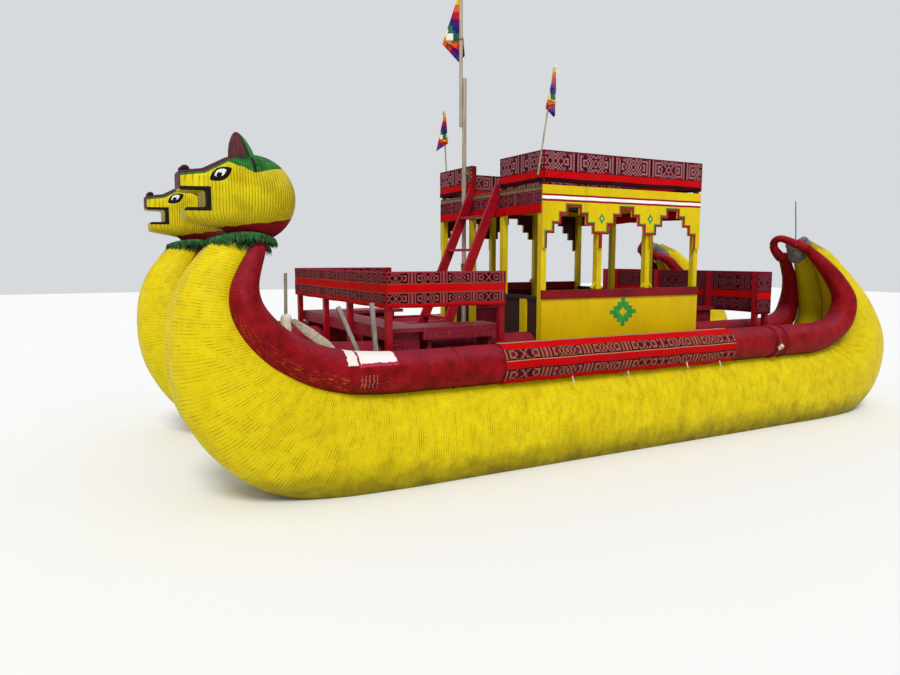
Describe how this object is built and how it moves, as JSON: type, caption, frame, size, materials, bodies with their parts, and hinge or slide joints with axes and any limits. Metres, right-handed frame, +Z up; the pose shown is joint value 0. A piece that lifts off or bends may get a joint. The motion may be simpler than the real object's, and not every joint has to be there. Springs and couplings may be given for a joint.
{
  "type": "reed boat",
  "caption": "Double-hulled reed boat with animal-head bows, curled sterns, a timber deck with railed benches, an arched cabin with a railed roof deck, a ladder and a flag mast.",
  "frame": {"origin": "on the waterline and on the centre plane, close to the middle of the boat's length", "axes": "+X forward to the heads, +Y to port, +Z up"},
  "size_m": [9.5943, 3.9072, 5.7526],
  "materials": {
    "reed": "satin",
    "roll": "matte",
    "textile": "matte",
    "wrap": "matte",
    "head": "satin",
    "ear": "satin",
    "collar": "matte",
    "timber": "matte",
    "beam": "matte",
    "bench": "satin",
    "band": "matte",
    "band_rear": "matte",
    "rail_post": "satin",
    "post_yellow": "gloss",
    "wall": "gloss",
    "lower_wall": "satin",
    "sill": "gloss",
    "roof": "matte",
    "valance": "matte",
    "pole": "satin",
    "flag": "matte",
    "stick": "matte",
    "rod": "satin"
  },
  "bodies": {
    "root": {"arcade_port": "wall", "arcade_starboard": "wall", "arch_edgings": "sill", "bench_bow": "bench", "bench_rear": "bench", "benches_side": "bench", "bundle_inner_port": "reed", "bundle_inner_starboard": "reed", "bundle_outer_port": "reed", "bundle_outer_starboard": "reed", "cabin_posts": "post_yellow", "cabin_seats": "bench", "collars": "collar", "cross_beams": "beam", "cross_uprights": "post_yellow", "cross_walls": "lower_wall", "deck_boards": "timber", "deck_joists": "beam", "ears": "ear", "flag_large": "flag", "flag_small_port": "flag", "flag_small_starboard": "flag", "flag_sticks": "stick", "front_rail_posts": "rail_post", "head_port": "head", "head_starboard": "head", "ladder": "bench", "lower_walls": "lower_wall", "mast_blocks": "pole", "mast_lower": "pole", "mast_upper": "pole", "paddle": "stick", "parapet_front": "wall", "parapet_posts": "post_yellow", "parapet_rear": "wall", "parapet_sides": "wall", "post_capitals": "post_yellow", "rail_panel_bow": "band", "rail_panel_rear": "band_rear", "rail_panels_side": "band", "rear_rail_posts": "rail_post", "roll_covers": "textile", "roll_inner_port": "roll", "roll_inner_starboard": "roll", "roll_outer_port": "roll", "roll_outer_starboard": "roll", "roof_beams": "beam", "roof_boards": "roof", "roof_plates": "wall", "side_decks": "timber", "sills": "sill", "stakes": "stick", "stern_loops": "roll", "stern_rod": "rod", "tip_wraps": "wrap", "valances": "valance"}
  },
  "joints": []
}
